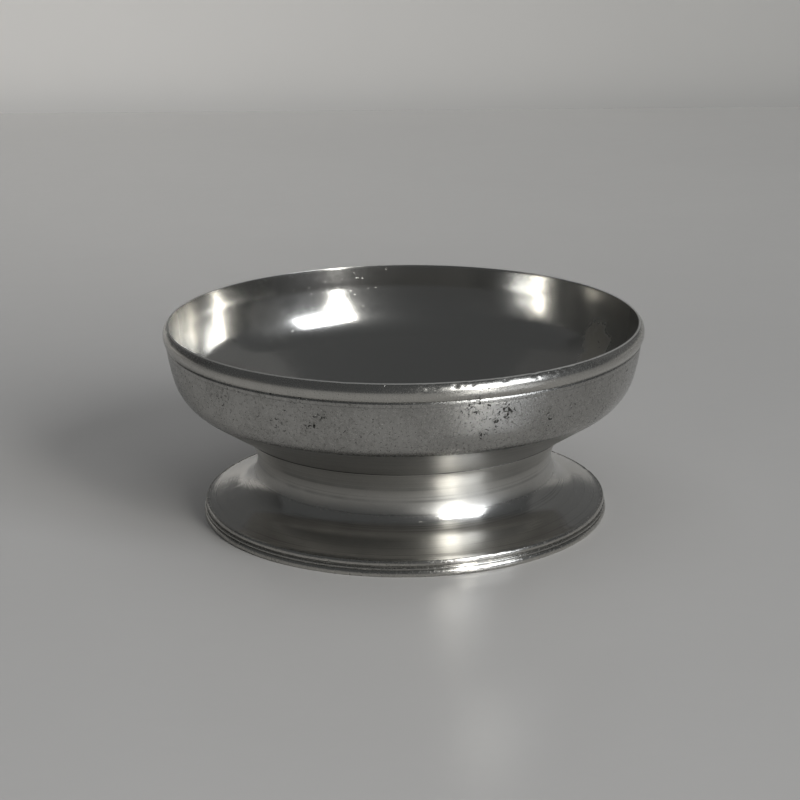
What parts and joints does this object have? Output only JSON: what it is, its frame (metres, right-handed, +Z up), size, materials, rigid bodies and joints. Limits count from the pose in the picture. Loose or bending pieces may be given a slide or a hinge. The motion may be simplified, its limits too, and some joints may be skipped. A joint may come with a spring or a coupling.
{
  "type": "footed bowl",
  "caption": "Low footed bowl in turned pewter: wide shallow bowl with a beaded rim, soldered onto a short flared foot with a reeded edge.",
  "frame": {"origin": "centre of the ring that the foot stands on, on the table", "axes": "+Z up along the bowl's axis; the piece is turned, so +X and +Y are any two square directions"},
  "size_m": [0.13, 0.13, 0.0534],
  "materials": {
    "pewter_bowl": "aged, matt and pitted outside, smooth inside",
    "pewter_foot": "aged, fine turned lines",
    "solder": "dull"
  },
  "bodies": {
    "root": {"bowl": "pewter_bowl", "foot": "pewter_foot", "solder_seam": "solder"}
  },
  "joints": []
}
